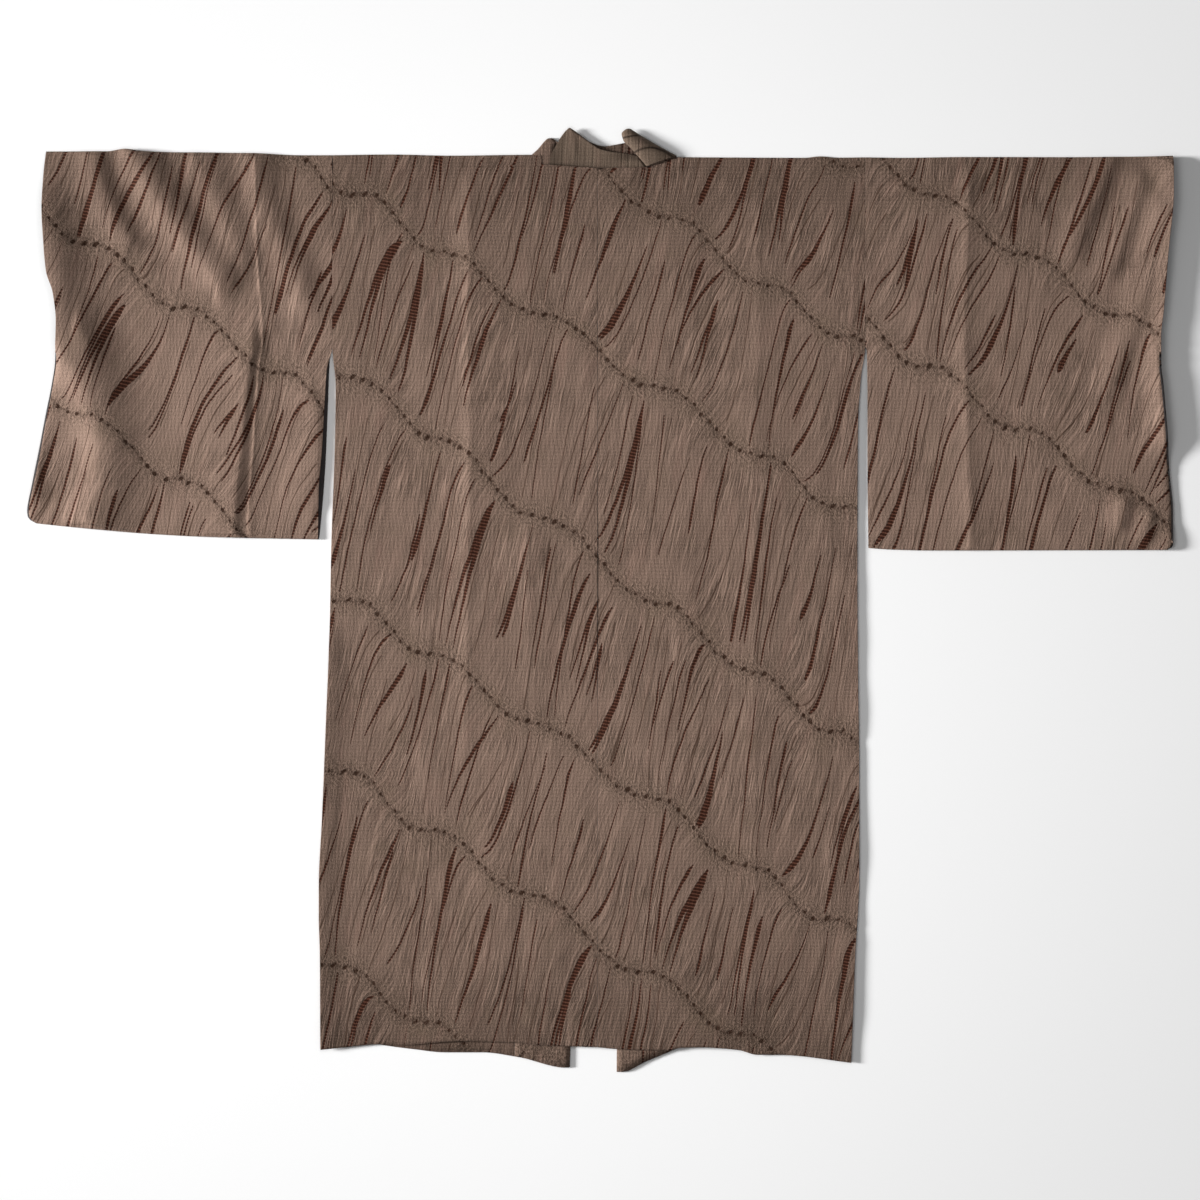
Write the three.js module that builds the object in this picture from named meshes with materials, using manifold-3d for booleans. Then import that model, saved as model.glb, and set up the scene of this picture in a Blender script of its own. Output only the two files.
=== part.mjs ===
// A haori, the open-fronted kimono coat, laid flat with its back up.
// Millimetres, +Z up, +Y towards the collar, the wearer's left at -X. The whole coat lies on z = 0.
// Each body length and each sleeve is one length of cloth that folds over the shoulder line, so it has
// an under layer (the front of the coat) on the floor and an over layer (the back) on top of it.
import * as THREE from 'three';
import { mergeVertices } from 'three/addons/utils/BufferGeometryUtils.js';
import Module from 'manifold-3d';

const wasm = await Module();
wasm.setup();

// ---- Driving dimensions -------------------------------------------------------------------------

const CLOTH = 1.2; // one layer of silk crepe with its lining
const BAND = 2 * CLOTH; // the collar is folded double
const SEAM_GAP = 0.3; // between pieces sewn to each other
const LAYER_GAP = 0.3; // between layers that lie on each other
const CENTRE_SEAM = -3; // x of the centre back seam
const ARMHOLE = { left: -321, right: 318, foot: 304 }; // seam lines of the sleeves, and the y they end at
const SHOULDER = { left: 534, right: 531 }; // y of the folds at the neck
const HEM = -536; // y of the back hem at the centre seam
const ARC_STEPS = 4; // facets round a fold
const COLLAR_WIDTH = 66;
const GUSSET = { top: 296, hem: -530, topWidth: 18, hemWidth: 60 };

// Distances across a piece, as shares of its width, at which its columns of points stand.
// They crowd round the crease that the coat was pressed with.
const EVEN_COLUMNS = [0, 0.09, 0.18, 0.27, 0.36, 0.44, 0.52, 0.6, 0.68, 0.76, 0.84, 0.92, 1];
const CREASE_HALF_WIDTH = 0.035;

// ---- Small tools --------------------------------------------------------------------------------

const lerp = THREE.MathUtils.lerp;

// Reads column `wanted` of a table where column `known` has the value `at`, straight between rows.
function read(table, known, wanted, at) {
  const rising = table[0][known] < table[table.length - 1][known];
  const rows = rising ? table : [...table].reverse();
  let above = rows.findIndex((row) => row[known] >= at);
  if (above === -1) above = rows.length - 1;
  if (above === 0) return rows[0][wanted];
  const low = rows[above - 1];
  const high = rows[above];
  const share = (at - low[known]) / (high[known] - low[known]);
  return lerp(low[wanted], high[wanted], THREE.MathUtils.clamp(share, 0, 1));
}

// Shifts column x of an edge's table.
function moved(edge, shift) {
  return edge.map(({ x, y }) => ({ x: x + shift, y }));
}

function closedGeometry(positions, triangles) {
  const geometry = new THREE.BufferGeometry();
  geometry.setAttribute('position', new THREE.Float32BufferAttribute(positions, 3));
  geometry.setIndex(triangles);
  return geometry;
}

// A cloth wall of the given thickness about rows of { point, normal }. A ring closes on its first row.
function wall(rows, thickness, ring = false) {
  const columns = rows[0].length;
  const positions = [];
  for (const side of [1, -1]) {
    for (const row of rows) {
      for (const { point, normal } of row) {
        positions.push(...point.clone().addScaledVector(normal, (side * thickness) / 2));
      }
    }
  }
  const inner = rows.length * columns;
  const index = (i, j) => (i % rows.length) * columns + j;
  const triangles = [];
  const quad = (a, b, c, d) => triangles.push(a, b, c, a, c, d);
  const strips = ring ? rows.length : rows.length - 1;
  for (let i = 0; i < strips; i++) {
    for (let j = 0; j < columns - 1; j++) {
      quad(index(i, j), index(i + 1, j), index(i + 1, j + 1), index(i, j + 1));
      quad(
        inner + index(i, j),
        inner + index(i, j + 1),
        inner + index(i + 1, j + 1),
        inner + index(i + 1, j),
      );
    }
    const last = columns - 1;
    quad(index(i, 0), inner + index(i, 0), inner + index(i + 1, 0), index(i + 1, 0));
    quad(index(i, last), index(i + 1, last), inner + index(i + 1, last), inner + index(i, last));
  }
  if (!ring) {
    const end = rows.length - 1;
    for (let j = 0; j < columns - 1; j++) {
      quad(index(0, j), index(0, j + 1), inner + index(0, j + 1), inner + index(0, j));
      quad(index(end, j), inner + index(end, j), inner + index(end, j + 1), index(end, j + 1));
    }
  }
  return facingOut(positions, triangles);
}

// Turns the triangles over if they enclose a negative volume.
function facingOut(positions, triangles) {
  const corner = (k) => new THREE.Vector3(...positions.slice(3 * k, 3 * k + 3));
  let volume = 0;
  for (let k = 0; k < triangles.length; k += 3) {
    const [a, b, c] = triangles.slice(k, k + 3).map(corner);
    volume += a.dot(b.cross(c));
  }
  return closedGeometry(positions, volume < 0 ? triangles.reverse() : triangles);
}

// One solid from several closed walls that run into each other.
function joined(...geometries) {
  const solids = geometries.map((geometry) => {
    const plain = geometry.index ? geometry.clone() : geometry;
    plain.deleteAttribute('normal');
    plain.deleteAttribute('uv');
    const merged = mergeVertices(plain, 1e-4);
    const vertProperties = merged.attributes.position.array;
    return new wasm.Manifold(new wasm.Mesh({ numProp: 3, vertProperties, triVerts: merged.index.array }));
  });
  const mesh = solids.reduce((sum, solid) => sum.add(solid)).getMesh();
  return closedGeometry(mesh.vertProperties, Array.from(mesh.triVerts));
}

// A flat plate of cloth on the floor.
function plate(outline, thickness) {
  const shape = new THREE.Shape(outline.map(({ x, y }) => new THREE.Vector2(x, y)));
  return new THREE.ExtrudeGeometry(shape, { depth: thickness, bevelEnabled: false });
}

// ---- How the over layer lies --------------------------------------------------------------------

// Soft folds of the back and of the sleeves' backs. Each is a ridge from one point to another, which
// falls off to both sides within about its width.
const FOLDS = [
  { name: 'first drape of the left sleeve', from: [-575, 540], to: [-505, 425], width: 24, rise: 7 },
  { name: 'second drape of the left sleeve', from: [-512, 538], to: [-435, 440], width: 20, rise: 5.5 },
  { name: 'wave at the left wrist', from: [-668, 470], to: [-600, 410], width: 24, rise: 4 },
  { name: 'wave below the left wrist', from: [-655, 350], to: [-560, 300], width: 28, rise: 3 },
  { name: 'wave at the left sleeve corner', from: [-676, 190], to: [-620, 110], width: 24, rise: 3.5 },
  { name: 'dip beside the left armhole', from: [-388, 505], to: [-338, 390], width: 18, rise: 4 },
  { name: 'short fold below the left shoulder', from: [-290, 525], to: [-262, 430], width: 22, rise: 2 },
  { name: 'wave at the right wrist', from: [690, 440], to: [610, 350], width: 30, rise: 3 },
  { name: 'wave at the right sleeve corner', from: [690, 150], to: [640, 90], width: 26, rise: 2.5 },
  { name: 'fold below the right shoulder', from: [262, 531], to: [250, 440], width: 20, rise: 2 },
  { name: 'lifted wave of the back hem', from: [-165, -545], to: [-168, -480], width: 34, rise: 4 },
  { name: 'lift of the right back hem', from: [140, -545], to: [150, -490], width: 30, rise: 2.5 },
  { name: 'soft wave over the left side', from: [-300, -330], to: [-318, -420], width: 26, rise: 2.5 },
  { name: 'soft wave over the right side', from: [290, -400], to: [296, -500], width: 24, rise: 2 },
];

// The back passes over the collar bands, which are thicker than the fronts beside them.
const OVER_BANDS = { left: -118, right: 104, ramp: 45 };

// Height of the over layer's underside above the floor.
function lieHeight(x, y) {
  const { left, right, ramp } = OVER_BANDS;
  const leftRamp = THREE.MathUtils.smoothstep(x, left - ramp, left);
  const rightRamp = 1 - THREE.MathUtils.smoothstep(x, right, right + ramp);
  let height = CLOTH + LAYER_GAP + (BAND - CLOTH) * leftRamp * rightRamp;
  for (const { from, to, width, rise } of FOLDS) {
    const start = new THREE.Vector2(...from);
    const along = new THREE.Vector2(...to).sub(start);
    const reached = new THREE.Vector2(x, y).sub(start);
    const share = THREE.MathUtils.clamp(reached.dot(along) / along.lengthSq(), 0, 1);
    const away = reached.distanceTo(along.multiplyScalar(share)) / width;
    height += rise * Math.exp(-away * away);
  }
  return height;
}

// A pressed crease is a low ridge that keeps its place across the piece.
function creaseHeight({ across, rise, until }, u, v) {
  const ridge = Math.max(0, 1 - Math.abs(u - across) / CREASE_HALF_WIDTH);
  return rise * ridge * (1 - THREE.MathUtils.smoothstep(v, until - 0.2, until));
}

// ---- A length of cloth folded over the shoulder ---------------------------------------------------

// The points of one layer, in rows from the fold to the foot. `sections` are the places down its outer
// edge at which the rows stand. `height` gives the middle of the cloth above the floor.
function layerRows({ fold, foot, inner, outer, sections, columns, height, sewnFoot }, normal) {
  const top = sections[0];
  const end = sections[sections.length - 1];
  const innerTop = inner[0].y;
  const innerEnd = inner[inner.length - 1].y;
  return sections.map((section) => {
    const v = (top - section) / (top - end);
    const innerX = read(inner, 'y', 'x', lerp(innerTop, innerEnd, v));
    const outerX = read(outer, 'y', 'x', section);
    return columns.map((u) => {
      const x = lerp(innerX, outerX, u);
      const foldY = read(fold, 'x', 'y', x);
      const footY = read(foot, 'x', 'y', x);
      const plainY = lerp(foldY, footY, v);
      const foldReach = turnRadius(height.over(x, plainY, u, v)) + CLOTH / 2;
      const footReach = sewnFoot ? foldReach : 0;
      const y = THREE.MathUtils.clamp(plainY, footY + footReach, foldY - foldReach);
      return { point: new THREE.Vector3(x, y, height.own(x, plainY, u, v)), normal };
    });
  });
}

// Radius of the turn between the under layer and an over layer whose middle is at this height.
function turnRadius(overMiddle) {
  return (overMiddle - CLOTH / 2) / 2;
}

// Rows that turn from one layer's edge row to the other's. `way` is +1 at the shoulder, -1 at the foot.
function turnRows(start, way) {
  return Array.from({ length: ARC_STEPS - 1 }, (_, k) => {
    const angle = (Math.PI * (k + 1)) / ARC_STEPS;
    return start.map(({ point, overMiddle }) => {
      const radius = turnRadius(overMiddle);
      const centreZ = radius + CLOTH / 2;
      const normal = new THREE.Vector3(0, way * Math.sin(angle), -way * Math.cos(angle));
      return { point: new THREE.Vector3(point.x, point.y, centreZ).addScaledVector(normal, radius), normal };
    });
  });
}

const DOWN = new THREE.Vector3(0, 0, -1);
const UP = new THREE.Vector3(0, 0, 1);

function foldedLength({ under, over, columns, creases, sewnFoot = false }) {
  const middle = (x, y, u, v) => {
    const pressed = creases.reduce((sum, crease) => sum + creaseHeight(crease, u, v), 0);
    return lieHeight(x, y) + pressed + CLOTH / 2;
  };
  const flat = () => CLOTH / 2;
  const underRows = layerRows({ ...under, columns, sewnFoot, height: { own: flat, over: middle } }, DOWN);
  const overRows = layerRows({ ...over, columns, sewnFoot, height: { own: middle, over: middle } }, UP);
  const edge = (row) => row.map(({ point }) => ({ point, overMiddle: point.z }));
  const shoulder = turnRows(edge(overRows[0]), 1);
  const seam = sewnFoot ? turnRows(edge(overRows[overRows.length - 1]), -1) : [];
  return wall([...underRows.reverse(), ...shoulder, ...overRows, ...seam], CLOTH, sewnFoot);
}

function withCrease(across) {
  const near = [across - CREASE_HALF_WIDTH, across, across + CREASE_HALF_WIDTH];
  const kept = EVEN_COLUMNS.filter((u) => Math.abs(u - across) > 1.6 * CREASE_HALF_WIDTH || u === 0 || u === 1);
  return [...kept, ...near].sort((a, b) => a - b);
}

// ---- Body lengths -------------------------------------------------------------------------------

// The back neckline, from the shoulder folds down to the centre seam.
const NECKLINE = {
  left: [
    { x: -69.6, y: 522.2 },
    { x: CENTRE_SEAM, y: 517.5 },
  ],
  right: [
    { x: 84, y: 528.2 },
    { x: 67, y: 521.8 },
    { x: 55.5, y: 518.9 },
    { x: CENTRE_SEAM, y: 517.5 },
  ],
};

const BODY = {
  left: {
    fold: [
      { x: -321, y: 533.5 },
      { x: -252, y: 534.4 },
      { x: -180, y: 533 },
      { x: -75, y: SHOULDER.left },
    ],
    backHem: [
      { x: -336, y: -539 },
      { x: -314, y: -537 },
      { x: -261, y: -532.5 },
      { x: -234, y: -533.5 },
      { x: -165, y: -528.5 },
      { x: -107, y: -530.5 },
      { x: -73, y: -533.5 },
      { x: CENTRE_SEAM, y: HEM },
    ],
    frontHem: [
      { x: -276, y: -531 },
      { x: -257, y: -534.5 },
      { x: -222, y: -539 },
      { x: -188, y: -542.5 },
      { x: -142, y: -542.5 },
      { x: -96, y: -548.5 },
    ],
    neck: [
      { x: -70, y: SHOULDER.left },
      ...NECKLINE.left,
      { x: CENTRE_SEAM - 0.6, y: 0 },
      { x: CENTRE_SEAM, y: HEM },
    ],
    side: [
      { x: ARMHOLE.left, y: 533.5 },
      { x: ARMHOLE.left, y: ARMHOLE.foot },
      { x: -317, y: 256 },
      { x: -318, y: 189 },
      { x: -322, y: 75 },
      { x: -324.5, y: -45 },
      { x: -329, y: -160 },
      { x: -333, y: -258 },
      { x: -337, y: -344 },
      { x: -337, y: -379 },
      { x: -335.8, y: -424 },
      { x: -335.2, y: -539 },
    ],
    bandSeam: { top: { x: -70, y: SHOULDER.left }, foot: { x: -102.6, y: -547.5 } },
    crease: { across: 0.485, rise: 1.6, until: 0.62 },
  },
  right: {
    fold: [
      { x: 92, y: SHOULDER.right },
      { x: 245, y: 530.4 },
      { x: 264, y: 532.2 },
      { x: 284, y: 530.6 },
      { x: 318, y: 531 },
    ],
    backHem: [
      { x: CENTRE_SEAM, y: HEM },
      { x: 20, y: -538.3 },
      { x: 81.5, y: -540.2 },
      { x: 95.5, y: -536.8 },
      { x: 119, y: -536 },
      { x: 166, y: -539.5 },
      { x: 189, y: -545.4 },
      { x: 214, y: -545.4 },
      { x: 302, y: -555 },
    ],
    frontHem: [
      { x: 86, y: -540.6 },
      { x: 95.5, y: -537.2 },
      { x: 130, y: -532 },
      { x: 243, y: -532 },
    ],
    neck: [
      { x: 92, y: SHOULDER.right },
      ...NECKLINE.right,
      { x: CENTRE_SEAM - 0.6, y: 0 },
      { x: CENTRE_SEAM, y: HEM },
    ],
    side: [
      { x: ARMHOLE.right, y: 531 },
      { x: ARMHOLE.right, y: ARMHOLE.foot },
      { x: 313, y: 266 },
      { x: 309.5, y: 208 },
      { x: 309, y: 133 },
      { x: 308.8, y: 23 },
      { x: 309.8, y: -107 },
      { x: 311, y: -202 },
      { x: 311, y: -335 },
      { x: 306, y: -430 },
      { x: 302.5, y: -525 },
      { x: 301.4, y: -555 },
    ],
    bandSeam: { top: { x: 92, y: SHOULDER.right }, foot: { x: 86.4, y: -540.5 } },
    crease: { across: 0.55, rise: 1.1, until: 0.5 },
  },
};

// Places down the side edge of a body length at which its sections stand.
const BACK_STEPS = [
  490, 440, 385, 304, 285, 256, 189, 132, 75, 15, -45, -100, -160, -210, -258, -301, -344, -379, -424, -460,
  -490, -515,
];
const FRONT_STEPS = [440, 340, 304, 299, 200, 60, -100, -260, -420];

function gussetInner(side) {
  const way = Math.sign(side[0].x);
  const top = read(side, 'y', 'x', GUSSET.top) - way * GUSSET.topWidth;
  const hem = read(side, 'y', 'x', GUSSET.hem) - way * GUSSET.hemWidth;
  return [{ x: top, y: GUSSET.top }, { x: hem, y: GUSSET.hem }];
}

function bodyLength({ fold, backHem, frontHem, neck, side, bandSeam, crease }) {
  const way = Math.sign(side[0].x);
  const foldY = side[0].y;
  const back = moved(side, (-way * SEAM_GAP) / 2);
  const neckTop = neck[0].y;
  const sideEnd = side[side.length - 1].y;
  const neckCorners = neck.slice(1, -2).map(({ y }) => lerp(foldY, sideEnd, (neckTop - y) / (neckTop - HEM)));
  const [gussetTop, gussetHem] = gussetInner(side);
  const front = [
    ...back.slice(0, 2),
    { x: gussetTop.x - way * SEAM_GAP, y: ARMHOLE.foot - 4 },
    { x: gussetHem.x - way * SEAM_GAP, y: read(frontHem, 'x', 'y', gussetHem.x) },
  ];
  return foldedLength({
    columns: withCrease(crease.across),
    creases: [crease],
    under: {
      fold,
      foot: frontHem,
      inner: [bandSeam.top, bandSeam.foot].map(({ x, y }) => ({ x: x + way * SEAM_GAP, y })),
      outer: front,
      sections: [foldY, ...FRONT_STEPS, front[front.length - 1].y],
    },
    over: {
      fold,
      foot: backHem,
      inner: [...moved(neck.slice(0, 1), way * SEAM_GAP), ...moved(neck.slice(1), (way * SEAM_GAP) / 2)],
      outer: back,
      sections: [foldY, ...neckCorners, ...BACK_STEPS, sideEnd],
    },
  });
}

// ---- Sleeves ------------------------------------------------------------------------------------

const SLEEVE = {
  left: {
    fold: [
      { x: -668, y: 538 },
      { x: -592, y: 538 },
      { x: -570, y: 541 },
      { x: -548, y: 538 },
      { x: -513, y: 537 },
      { x: -421, y: 536 },
      { x: -360, y: 533.5 },
      { x: ARMHOLE.left, y: 533.5 },
    ],
    foot: [
      { x: -687, y: 93 },
      { x: -676, y: 91.8 },
      { x: -605, y: 84.6 },
      { x: -536, y: 79 },
      { x: -467, y: 75.5 },
      { x: -336, y: 72.6 },
    ],
    outer: [
      { x: -664.3, y: 538 },
      { x: -667, y: 508 },
      { x: -667.8, y: 473 },
      { x: -665.4, y: 427 },
      { x: -662, y: 393 },
      { x: -654, y: 368 },
      { x: -650.5, y: 335 },
      { x: -651.7, y: 293 },
      { x: -657.4, y: 259 },
      { x: -664.3, y: 225 },
      { x: -673.4, y: 175 },
      { x: -681.5, y: 133 },
      { x: -687, y: 105 },
      { x: -685.5, y: 97 },
      { x: -676, y: 91.8 },
    ],
    innerOver: [
      { x: ARMHOLE.left, y: 533.5 },
      { x: ARMHOLE.left, y: ARMHOLE.foot },
      { x: -327.5, y: 275 },
      { x: -329.4, y: 247 },
      { x: -333.2, y: 180 },
      { x: -337, y: 133 },
      { x: -338, y: 72.6 },
    ],
    innerUnder: [
      { x: ARMHOLE.left, y: 533.5 },
      { x: ARMHOLE.left, y: ARMHOLE.foot },
      { x: -323.6, y: 295 },
      { x: -326.5, y: 228 },
      { x: -329.4, y: 161 },
      { x: -335, y: 90 },
      { x: -337, y: 72.6 },
    ],
    wrist: 302,
    crease: { across: 0.278, rise: 1.8, until: 1.3 },
  },
  right: {
    fold: [
      { x: ARMHOLE.right, y: 531 },
      { x: 361, y: 530.4 },
      { x: 440, y: 531.4 },
      { x: 560, y: 531.2 },
      { x: 687, y: 532.4 },
    ],
    foot: [
      { x: 321, y: 62.3 },
      { x: 345, y: 60.6 },
      { x: 397, y: 59.4 },
      { x: 687, y: 60 },
    ],
    outer: [
      { x: 686.3, y: 532.4 },
      { x: 686.3, y: 493 },
      { x: 679.6, y: 412 },
      { x: 674.3, y: 345 },
      { x: 671.4, y: 317 },
      { x: 671.4, y: 281 },
      { x: 673.6, y: 261 },
      { x: 677.6, y: 216 },
      { x: 682.8, y: 152 },
      { x: 687, y: 106 },
      { x: 687, y: 68 },
      { x: 685, y: 63 },
      { x: 680, y: 60 },
    ],
    innerOver: [
      { x: ARMHOLE.right, y: 531 },
      { x: ARMHOLE.right, y: ARMHOLE.foot },
      { x: 319.7, y: 300 },
      { x: 320.6, y: 247 },
      { x: 320.6, y: 171 },
      { x: 321.6, y: 62.3 },
    ],
    innerUnder: [
      { x: ARMHOLE.right, y: 531 },
      { x: ARMHOLE.right, y: ARMHOLE.foot },
      { x: 320.4, y: 298 },
      { x: 321.8, y: 180 },
      { x: 322.4, y: 62.3 },
    ],
    wrist: 303,
    crease: { across: 0.33, rise: 1.8, until: 1.3 },
  },
};

// Places down the outer edge of a sleeve.
const SLEEVE_BACK_STEPS = [508, 473, 427, 393, 368, 335, 317, 306, 281, 259, 225, 175, 133];
const SLEEVE_FRONT_STEPS = [470, 368, 317, 306, 225, 150];
const SLEEVE_FEET = { left: [105, 97], right: [106, 68, 63] };
const CUFF_SEAM_WIDTH = 1.4;

// Below the wrist the two layers are sewn together along the outer edge.
function cuffSeam({ outer, wrist }, way) {
  const inset = SEAM_GAP;
  const places = outer.filter(({ y }) => y < wrist);
  const line = [{ x: read(outer, 'y', 'x', wrist), y: wrist }, ...places];
  const rows = line.map(({ x, y }) => {
    const edge = x - way * inset;
    const middleX = edge - (way * CUFF_SEAM_WIDTH) / 2;
    const top = lieHeight(x, y) + CLOTH / 2;
    const normal = new THREE.Vector3(way, 0, 0);
    return [CLOTH / 2, top].map((z) => ({ point: new THREE.Vector3(middleX, y, z), normal }));
  });
  return wall(rows, CUFF_SEAM_WIDTH);
}

function sleeve(shape, feet) {
  const way = Math.sign(shape.outer[0].x);
  const { fold, foot, outer, crease } = shape;
  const end = outer[outer.length - 1].y;
  const inner = (edge) => moved(edge, (way * SEAM_GAP) / 2);
  const tube = foldedLength({
    columns: withCrease(crease.across),
    creases: [crease],
    sewnFoot: true,
    under: {
      fold,
      foot,
      outer,
      inner: inner(shape.innerUnder),
      sections: [outer[0].y, ...SLEEVE_FRONT_STEPS, ...feet, end],
    },
    over: {
      fold,
      foot,
      outer,
      inner: inner(shape.innerOver),
      sections: [outer[0].y, ...SLEEVE_BACK_STEPS, ...feet, end],
    },
  });
  return joined(tube, cuffSeam({ ...shape, outer: outer.slice(0, -2) }, way));
}

// ---- Gussets ------------------------------------------------------------------------------------

// A gusset fills the side between the front and the back. Its outer edge is the body's side.
function gusset({ side }) {
  const way = Math.sign(side[0].x);
  const edge = side.filter(({ y }) => y < GUSSET.top && y > GUSSET.hem);
  const outer = [
    { x: read(side, 'y', 'x', GUSSET.top), y: GUSSET.top },
    ...edge,
    { x: read(side, 'y', 'x', GUSSET.hem), y: GUSSET.hem },
  ];
  return plate([...moved(outer, (-way * SEAM_GAP) / 2), ...gussetInner(side).reverse()], CLOTH);
}

// ---- Collar -------------------------------------------------------------------------------------

// The band lies double on the floor: down both fronts, and across the neck between them.
const { left: LEFT_BODY, right: RIGHT_BODY } = BODY;
const BAND_OUTLINE = [
  LEFT_BODY.bandSeam.foot,
  { x: LEFT_BODY.bandSeam.top.x, y: SHOULDER.left + 0.6 },
  { x: -74, y: SHOULDER.left + 0.8 },
  { x: -58, y: 554.4 },
  { x: -49, y: 548.2 },
  { x: -40, y: 549 },
  { x: -26, y: 555.4 },
  { x: -14.5, y: 550.4 },
  { x: -3, y: 545.3 },
  { x: 6, y: 543.7 },
  { x: 20, y: 546.2 },
  { x: 48, y: 552 },
  { x: 68, y: 542 },
  { x: RIGHT_BODY.bandSeam.top.x, y: SHOULDER.right + 0.8 },
  RIGHT_BODY.bandSeam.foot,
  { x: 81.5, y: -542.5 },
  { x: 54, y: -554 },
  { x: 27, y: -566 },
  { x: RIGHT_BODY.bandSeam.foot.x - COLLAR_WIDTH, y: -566 },
  { x: RIGHT_BODY.bandSeam.top.x - COLLAR_WIDTH, y: 505 },
  { x: LEFT_BODY.bandSeam.top.x + COLLAR_WIDTH, y: 505 },
  { x: LEFT_BODY.bandSeam.foot.x + COLLAR_WIDTH, y: -560 },
  { x: -41, y: -561 },
  { x: -96, y: -548.5 },
];

// The upper leaf stands up from the back neckline and leans over the band behind it.
const NECK_LEAF = [
  { seamX: -58, freeX: -36.4, freeY: 566, seamZ: 2.2, freeZ: 2.6 },
  { seamX: -40, freeX: -24, freeY: 557.6, seamZ: 3.2, freeZ: 4.4 },
  { seamX: -20, freeX: -12, freeY: 548.4, seamZ: 3.3, freeZ: 5.6 },
  { seamX: 0, freeX: 1, freeY: 540, seamZ: 3.3, freeZ: 6 },
  { seamX: 20, freeX: 15, freeY: 537, seamZ: 3.3, freeZ: 5.8 },
  { seamX: 38, freeX: 32, freeY: 535, seamZ: 3.3, freeZ: 5 },
  { seamX: 55, freeX: 46, freeY: 532, seamZ: 3.4, freeZ: 4.4 },
];
const LEAF_STEPS = 4;

// At the right the band turns out and rolls over itself, an arch that widens towards the shoulder.
const NECK_ROLL = [
  { leftX: 26.5, leftY: 558.5, rightX: 35, rightY: 564.5, leftZ: 5.2, rightZ: 4.2, crown: 2.5 },
  { leftX: 28.5, leftY: 551, rightX: 49, rightY: 556.4, leftZ: 5.2, rightZ: 2.4, crown: 6 },
  { leftX: 38, leftY: 541, rightX: 69, rightY: 544.6, leftZ: 5, rightZ: 1.8, crown: 8 },
  { leftX: 47, leftY: 530.8, rightX: 85.5, rightY: 535.6, leftZ: 4.6, rightZ: 1.6, crown: 6.5 },
  { leftX: 56.5, leftY: 520.2, rightX: 91.5, rightY: 532.6, leftZ: 3.6, rightZ: 1.8, crown: 4 },
];
const ROLL_STEPS = 8;

function neckLeaf() {
  const rows = NECK_LEAF.map(({ seamX, freeX, freeY, seamZ, freeZ }) => {
    const neckline = seamX < CENTRE_SEAM ? NECKLINE.left : NECKLINE.right;
    const seamY = read(neckline, 'x', 'y', seamX) + SEAM_GAP;
    return Array.from({ length: LEAF_STEPS + 1 }, (_, k) => {
      const up = k / LEAF_STEPS;
      const z = lerp(seamZ, freeZ, up * up);
      return { point: new THREE.Vector3(lerp(seamX, freeX, up), lerp(seamY, freeY, up), z), normal: UP };
    });
  });
  return wall(rows, CLOTH);
}

function neckRoll() {
  const rows = NECK_ROLL.map(({ leftX, leftY, rightX, rightY, leftZ, rightZ, crown }) => {
    const left = new THREE.Vector3(leftX, leftY, leftZ);
    const right = new THREE.Vector3(rightX, rightY, rightZ);
    const across = new THREE.Vector3(rightX - leftX, rightY - leftY, 0).normalize();
    return Array.from({ length: ROLL_STEPS + 1 }, (_, k) => {
      const angle = (Math.PI * k) / ROLL_STEPS;
      const point = left.clone().lerp(right, (1 - Math.cos(angle)) / 2);
      point.z += crown * Math.sin(angle);
      const normal = new THREE.Vector3(0, 0, Math.sin(angle)).addScaledVector(across, -Math.cos(angle));
      return { point, normal };
    });
  });
  return wall(rows, CLOTH);
}

// ---- The coat -----------------------------------------------------------------------------------

const taupe = { color: 0x77685c, roughness: 0.82, metalness: 0 };
const bandBrown = { color: 0x695c4e, roughness: 0.85, metalness: 0 };

function piece(name, geometry, finish) {
  const mesh = new THREE.Mesh(geometry, new THREE.MeshStandardMaterial(finish));
  mesh.name = name;
  return mesh;
}

const coat = new THREE.Group();
coat.add(
  piece('body_left', bodyLength(BODY.left), taupe),
  piece('body_right', bodyLength(BODY.right), taupe),
  piece('sleeve_left', sleeve(SLEEVE.left, SLEEVE_FEET.left), taupe),
  piece('sleeve_right', sleeve(SLEEVE.right, SLEEVE_FEET.right), taupe),
  piece('gusset_left', gusset(BODY.left), taupe),
  piece('gusset_right', gusset(BODY.right), taupe),
  piece('collar', joined(plate(BAND_OUTLINE, BAND), neckLeaf(), neckRoll()), bandBrown),
);

export default coat;
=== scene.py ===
import math

import bmesh
import bpy
import numpy as np
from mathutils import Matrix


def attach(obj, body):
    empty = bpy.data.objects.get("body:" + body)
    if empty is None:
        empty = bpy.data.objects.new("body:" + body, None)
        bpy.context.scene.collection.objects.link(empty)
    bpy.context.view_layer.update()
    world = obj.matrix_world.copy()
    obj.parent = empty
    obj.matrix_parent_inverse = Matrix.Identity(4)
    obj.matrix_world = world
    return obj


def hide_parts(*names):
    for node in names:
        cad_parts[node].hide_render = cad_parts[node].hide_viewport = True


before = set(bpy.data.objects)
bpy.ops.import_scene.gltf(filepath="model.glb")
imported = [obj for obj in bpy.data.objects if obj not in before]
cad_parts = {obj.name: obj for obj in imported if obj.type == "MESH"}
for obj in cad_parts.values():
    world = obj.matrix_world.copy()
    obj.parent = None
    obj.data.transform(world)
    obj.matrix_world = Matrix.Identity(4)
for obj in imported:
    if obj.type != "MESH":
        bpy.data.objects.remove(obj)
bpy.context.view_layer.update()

# ---- Body lengths --------------------------------------------------------------------------------
# Each half of the body is one loom width of silk crepe, front and back in one, which folds over the
# shoulder line without a seam. The coat lies on its fronts, so the backs are on top, sewn to each
# other down the centre. Lengths here are millimetres, and MM turns them into metres.

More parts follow.
